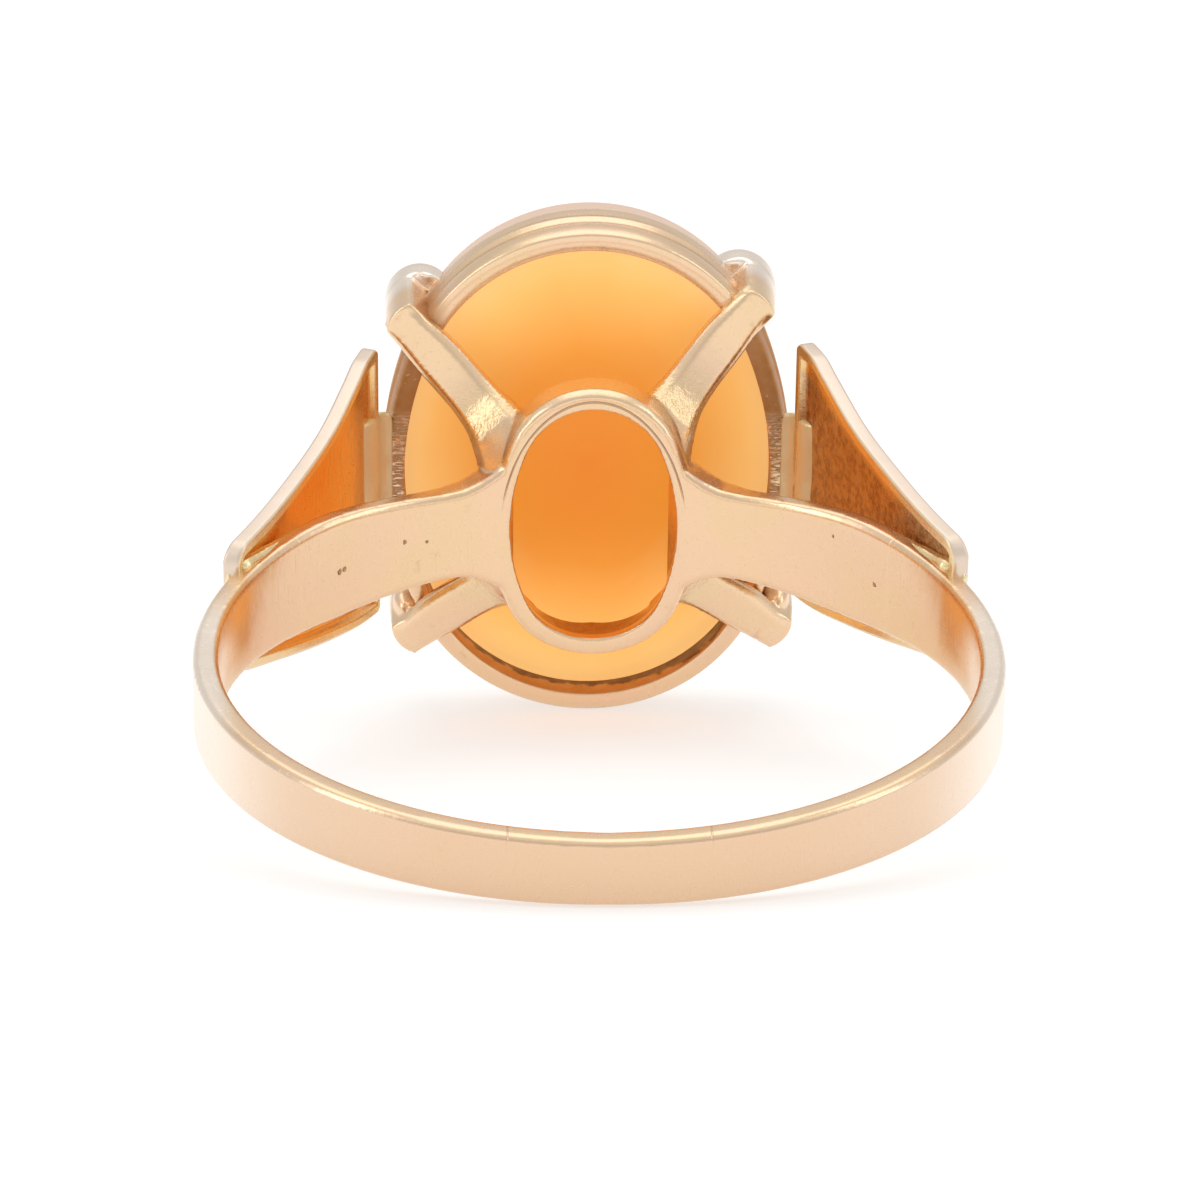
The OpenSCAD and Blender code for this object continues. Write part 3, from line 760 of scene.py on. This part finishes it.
# outlines and lines of the carving, as shares of the shell's half height
BUST = [
    (0.00, 0.70), (0.14, 0.64), (0.26, 0.52), (0.31, 0.40), (0.305, 0.31), (0.345, 0.22),
    (0.40, 0.13), (0.37, 0.085), (0.325, 0.07), (0.35, 0.025), (0.33, -0.005), (0.345, -0.045),
    (0.31, -0.085), (0.33, -0.14), (0.27, -0.20), (0.16, -0.20), (0.09, -0.26), (0.09, -0.38),
    (0.14, -0.51), (0.27, -0.61), (0.34, -0.70), (0.19, -0.79), (0.00, -0.82), (-0.22, -0.79),
    (-0.39, -0.67), (-0.30, -0.54), (-0.19, -0.42), (-0.18, -0.31), (-0.27, -0.23), (-0.39, -0.18),
    (-0.50, -0.06), (-0.52, 0.11), (-0.44, 0.25), (-0.36, 0.38), (-0.29, 0.52), (-0.16, 0.65),
]
HAIR = [
    (0.30, 0.44), (0.12, 0.34), (0.02, 0.18), (-0.04, 0.02), (-0.12, -0.14), (-0.24, -0.22),
    (-0.70, -0.30), (-0.70, 0.90), (0.50, 0.90), (0.42, 0.48),
]
BUN = (-0.38, 0.02)
BUN_R = 0.175
DRESS = [
    (-0.36, -0.47), (-0.20, -0.53), (-0.04, -0.60), (0.10, -0.59), (0.24, -0.52), (0.60, -0.55),
    (0.60, -1.0), (-0.60, -1.0), (-0.60, -0.45),
]
FOLDS_ROUND = (0.10, -0.12)
# relief lines of the head and dress: height, width, points
LINES = [
    (-0.15, 0.034, [(0.290, 0.262), (0.240, 0.250)]),
    (0.13, 0.020, [(0.246, 0.244), (0.238, 0.242)]),
    (0.08, 0.009, [(0.282, 0.256), (0.256, 0.272), (0.226, 0.266), (0.196, 0.238)]),
    (0.04, 0.009, [(0.270, 0.226), (0.236, 0.218), (0.204, 0.232)]),
    (0.08, 0.022, [(0.300, 0.315), (0.250, 0.328), (0.175, 0.296)]),
    (0.09, 0.022, [(0.337, 0.112), (0.333, 0.118)]),
    (-0.06, 0.009, [(0.303, 0.135), (0.300, 0.105), (0.330, 0.084)]),
    (0.07, 0.014, [(0.345, 0.020), (0.318, 0.018), (0.285, 0.006)]),
    (0.08, 0.015, [(0.340, -0.038), (0.318, -0.038), (0.290, -0.026)]),
    (-0.09, 0.007, [(0.345, -0.008), (0.310, -0.008), (0.272, -0.012)]),
    (0.07, 0.045, [(0.295, -0.135), (0.285, -0.135)]),
    (0.10, 0.090, [(0.175, 0.090), (0.165, 0.080)]),
    (-0.16, 0.035, [(0.250, -0.235), (0.120, -0.205), (0.030, -0.110), (0.010, -0.030)]),
    (0.12, 0.014, [
        (0.030, 0.050), (0.020, 0.085), (0.035, 0.125), (0.066, 0.130), (0.080, 0.100),
        (0.062, 0.072),
    ]),
    (0.06, 0.012, [(0.052, 0.105), (0.048, 0.080)]),
    (0.07, 0.030, [(-0.060, -0.180), (0.020, -0.320), (0.080, -0.480)]),
    (-0.05, 0.020, [(0.020, -0.180), (0.060, -0.320), (0.070, -0.440)]),
    (0.06, 0.030, [(-0.200, -0.450), (-0.020, -0.520), (0.120, -0.500)]),
]
# rows of round beads: radius, count, ends and middle of their curve
BEADS = [
    (0.021, 9, (-0.195, -0.335), (-0.060, -0.435), (0.098, -0.405)),
    (0.020, 13, (0.235, 0.480), (0.060, 0.520), (-0.180, 0.330)),
    (0.024, 1, (0.048, 0.028), (0.048, 0.028), (0.048, 0.028)),
]


def rounded_outline(rows, steps=6):
    """A smooth closed line through the rows."""
    p = np.array(rows, float)
    a, b, c, d = np.roll(p, 1, 0), p, np.roll(p, -1, 0), np.roll(p, -2, 0)
    out = []
    for t in np.arange(steps) / steps:
        bend = (2 * a - 5 * b + 4 * c - d) * t**2 + (3 * b - a - 3 * c + d) * t**3
        out.append(0.5 * (2 * b + (c - a) * t + bend))
    return np.stack(out, 1).reshape(-1, 2)


def from_line(p, line):
    """How far each point lies from an open line."""
    nearest = np.full(len(p), 1e9)
    for a, b in zip(line, line[1:]):
        d = np.subtract(b, a)
        t = np.clip(((p - a) @ d) / (d @ d), 0, 1)
        nearest = np.minimum(nearest, np.hypot(*(p - a - t[:, None] * d).T))
    return nearest


def depth_inside(p, outline):
    """How far each point lies inside a closed line, and 0 outside it."""
    inside = np.zeros(len(p), bool)
    for a, b in zip(outline, np.roll(outline, -1, 0)):
        d = b - a
        crosses = (a[1] > p[:, 1]) != (b[1] > p[:, 1])
        with np.errstate(divide="ignore", invalid="ignore"):
            inside ^= crosses & (p[:, 0] < a[0] + d[0] * (p[:, 1] - a[1]) / d[1])
    return np.where(inside, from_line(p, np.concatenate([outline, outline[:1]])), 0)


def raised(share):
    """A rounded rise from an outline, 0 at its edge and 1 from full depth on."""
    return np.sqrt(1 - (1 - np.minimum(1, share)) ** 2)


# The front is a square grid with its rim drawn down to the back
shell = bmesh.new()
white_layer = shell.verts.layers.float.new("white_layer")
bmesh.ops.create_grid(shell, x_segments=SHELL_GRID, y_segments=SHELL_GRID, size=1)
rim = [e for e in shell.edges if e.is_boundary]
grown = bmesh.ops.extrude_edge_only(shell, edges=rim)["geom"]
back_points = set(points_in(grown))
bmesh.ops.edgeloop_fill(
    shell, edges=[e for e in edges_in(grown) if back_points.issuperset(e.verts)]
)
shell.verts.index_update()

# The square is drawn onto a disc, and the disc onto the shell's oval
flat = np.array([v.co[:2] for v in shell.verts])
u = flat[:, 0] * np.sqrt(1 - flat[:, 1] ** 2 / 2)
w = flat[:, 1] * np.sqrt(1 - flat[:, 0] ** 2 / 2)
share = np.minimum(1, np.hypot(u, w))
aim = np.arctan2(w, u)
table = np.array([on_oval(*SHELL_OVAL, a) for a in np.linspace(-math.pi, math.pi, 1441)])
reach = np.interp(aim, np.arctan2(table[:, 1], table[:, 0]), np.hypot(*table.T)) * share
x, z = by_hand(reach * np.cos(aim), reach * np.sin(aim))

# The carving's height is worked out at each point, as it is seen from the front
seen = np.stack([-x, z], 1) / SHELL_OVAL[1]
bust = depth_inside(seen, rounded_outline(BUST))
hair = depth_inside(seen, rounded_outline(HAIR))
dress = depth_inside(seen, rounded_outline(DRESS))
from_bun = seen - BUN
bun_r, bun_angle = np.hypot(*from_bun.T), np.arctan2(from_bun[:, 1], from_bun[:, 0])
combed = 0.5 + 0.5 * np.cos(34 * (bun_angle + 0.12 * np.sin(bun_r * 17)))
coiled = 0.5 + 0.5 * np.cos(math.tau * bun_r / 0.055 + bun_angle)
knot = np.sqrt(np.maximum(0, 1 - (bun_r / BUN_R) ** 2))
folds = 0.5 + 0.5 * np.cos(math.tau * np.hypot(*(seen - FOLDS_ROUND).T) / 0.062)
head_swell = np.exp(-np.hypot(seen[:, 0] - 0.05, seen[:, 1] - 0.18) ** 2 / 0.1)
hair_height = np.where(knot > 0, 0.08 + 0.2 * knot + 0.08 * coiled, 0.13 + 0.09 * combed)
carving = raised(bust / 0.09) * (0.5 + 0.12 * head_swell)
carving += raised(hair / 0.05) * hair_height
carving += raised(dress / 0.02) * (0.07 + 0.1 * folds)
for rise, width, line in LINES:
    carving += rise * np.exp(-((from_line(seen, line) / width) ** 2))
for radius, count, first, middle, last in BEADS:
    for t in np.linspace(0, 1, count):
        spot = np.array(first) * (1 - t) ** 2 + np.array(middle) * 2 * t * (1 - t)
        spot += np.array(last) * t * t
        from_bead = np.hypot(*(seen - spot).T) / radius
        carving += 0.2 * np.sqrt(np.maximum(0, 1 - from_bead**2))
carving = np.where(bust > 0, np.minimum(1, carving * np.minimum(1, bust / 0.012)), 0)
y = SHELL_EDGE + DOME * np.sqrt(1 - share**2) + RELIEF * carving
y[[v.index for v in back_points]] = SHELL_BACK
for v, px, py, pz, c in zip(shell.verts, x, y, z, carving):
    v.co = (px, py, pz)
    v[white_layer] = c
bmesh.ops.recalc_face_normals(shell, faces=shell.faces)

# share of the way from the back's middle to its edge, colour
BACK_STOPS = [
    (0.0, (0.82, 0.25, 0.015, 1)), (0.45, (0.83, 0.31, 0.03, 1)), (0.8, (0.85, 0.46, 0.12, 1)),
    (1.0, (0.89, 0.58, 0.22, 1)),
]
GROUND_DARK = (0.76, 0.31, 0.12)
GROUND_LIGHT = (0.82, 0.42, 0.21)
UPRIGHT_EDGE = (0.84, 0.60, 0.45)
THIN_WHITE = (0.84, 0.62, 0.46)
FULL_WHITE = (0.91, 0.83, 0.72)
cameo = Finish("carved_shell")
away = ((cameo.x / SHELL_OVAL[0]) ** 2 + (cameo.z / SHELL_OVAL[1]) ** 2) ** 0.5
mottled = away + (cameo.grain(2.5, 2) - 0.5) * 0.15
back_colour = cameo.node("ShaderNodeValToRGB", {"stops": BACK_STOPS}, {0: mottled})
layer = cameo.painted("white_layer")
front = cameo.y.ramp(12.8, 13.2)
ground = cameo.mixed(cameo.grain(0.8, 3) * 0.5, GROUND_DARK, GROUND_LIGHT)
ground = cameo.mixed(cameo.y.ramp(14.5, 14.25), ground, UPRIGHT_EDGE)
white = cameo.mixed(layer.ramp(0.45, 0.75), THIN_WHITE, FULL_WHITE)
front_colour = cameo.mixed(layer.ramp(0.03, 0.3), ground, white)
shell_colour = cameo.mixed(front, back_colour, front_colour)
# A painted glow stands in for light coming through the thin back, most of all near its edge
lit_through = (1 - front) * (0.7 + 0.3 * away.ramp(0.4, 1.0))
painted_glow = cameo.mixed(lit_through, (0.0, 0.0, 0.0), back_colour)
cameo.set(metallic=0.0, roughness=0.4, ior=1.45, emission_color=painted_glow, emission_strength=0.55)
cameo_material = dressed(cameo, cameo.grain(1.5, 2), 0.01, shell_colour)
finished(shell, "cameo_shell", cameo_material, "cameo")


# Stage: a pale floor, soft light from large panels, and the camera at the photograph's angle.
DISTANCE = 120.0
RISE, TURN, ROLL = math.radians(26.2), math.radians(1.5), math.radians(0.7)
SENSOR = 36
# the picture's width, the lens and the shift up, all in picture points
PICTURE, LENS, SHIFT_UP = 1200, 5196, 83.5
level_eye = math.cos(RISE)
eye = DISTANCE * Vector((-level_eye * math.sin(TURN), -level_eye * math.cos(TURN), math.sin(RISE)))
back = eye.normalized()
right = Vector((0, 0, 1)).cross(back).normalized()
upward = back.cross(right)
right, upward = (
    math.cos(ROLL) * right + math.sin(ROLL) * upward,
    math.cos(ROLL) * upward - math.sin(ROLL) * right,
)
look = Matrix((right, upward, back)).transposed().to_4x4()
lens = bpy.data.cameras.new("camera")
lens.sensor_width = SENSOR
lens.lens = SENSOR * LENS / PICTURE
lens.shift_x = 1 / PICTURE
lens.shift_y = SHIFT_UP / PICTURE
lens.clip_start = 0.001
camera = bpy.data.objects.new("camera", lens)
turned = Matrix.Rotation(rest_tilt, 4, "X")
camera.matrix_world = Matrix.Translation(turned @ eye * MM) @ turned @ look
bpy.context.scene.collection.objects.link(camera)
bpy.context.scene.camera = camera

floor_bm = bmesh.new()
bmesh.ops.create_circle(floor_bm, cap_ends=True, segments=96, radius=1.5)
low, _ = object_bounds()
bmesh.ops.translate(floor_bm, vec=(0, 0, low.z), verts=floor_bm.verts)
floor_mesh = bpy.data.meshes.new("floor")
floor_bm.to_mesh(floor_mesh)
floor_bm.free()
floor = bpy.data.objects.new("floor", floor_mesh)
bpy.context.scene.collection.objects.link(floor)
paper = bpy.data.materials.new("white_paper")
paper.use_nodes = True
for socket, value in (
    ("Base Color", (0.54, 0.54, 0.54, 1)), ("Roughness", 0.9),
    ("Emission Color", (1, 1, 1, 1)), ("Emission Strength", 0.54),
):
    paper.node_tree.nodes["Principled BSDF"].inputs[socket].default_value = value
floor_mesh.materials.append(paper)

# The sky's tone by height, brightest low down and overhead
SKY_TONES = [(0.0, 1.2), (0.08, 1.12), (0.25, 0.92), (0.5, 0.85), (0.9, 1.1)]
world = bpy.data.worlds.new("studio")
world.use_nodes = True
sky = world.node_tree
spread = sky.nodes.new("ShaderNodeTexCoord")
split = sky.nodes.new("ShaderNodeSeparateXYZ")
sky.links.new(spread.outputs["Generated"], split.inputs[0])
dome = sky.nodes.new("ShaderNodeValToRGB")
stops = dome.color_ramp.elements
for position, tone in SKY_TONES:
    element = stops[0] if position == 0 else stops.new(position)
    element.position, element.color = position, (tone, tone, tone, 1)
stops.remove(stops[-1])
sky.links.new(split.outputs["Z"], dome.inputs[0])
sky.links.new(dome.outputs[0], sky.nodes["Background"].inputs["Color"])
sky.nodes["Background"].inputs["Strength"].default_value = 0.8
bpy.context.scene.world = world


def panel(name, place, size, power):
    """A soft light that faces the ring."""
    light = bpy.data.lights.new(name, "AREA")
    light.shape = "RECTANGLE"
    light.size, light.size_y = size
    light.energy = power
    lamp = bpy.data.objects.new(name, light)
    aim = (-Vector(place)).to_track_quat("-Z", "Y").to_matrix().to_4x4()
    lamp.matrix_world = Matrix.Translation(place) @ aim
    bpy.context.scene.collection.objects.link(lamp)


panel("top_panel", (0.0, 0.05, 0.30), (0.28, 0.28), 0.16)
panel("left_panel", (-0.28, -0.10, 0.16), (0.08, 0.24), 0.12)
panel("right_panel", (0.28, -0.06, 0.18), (0.08, 0.24), 0.08)

bpy.context.scene.view_settings.view_transform = "Standard"
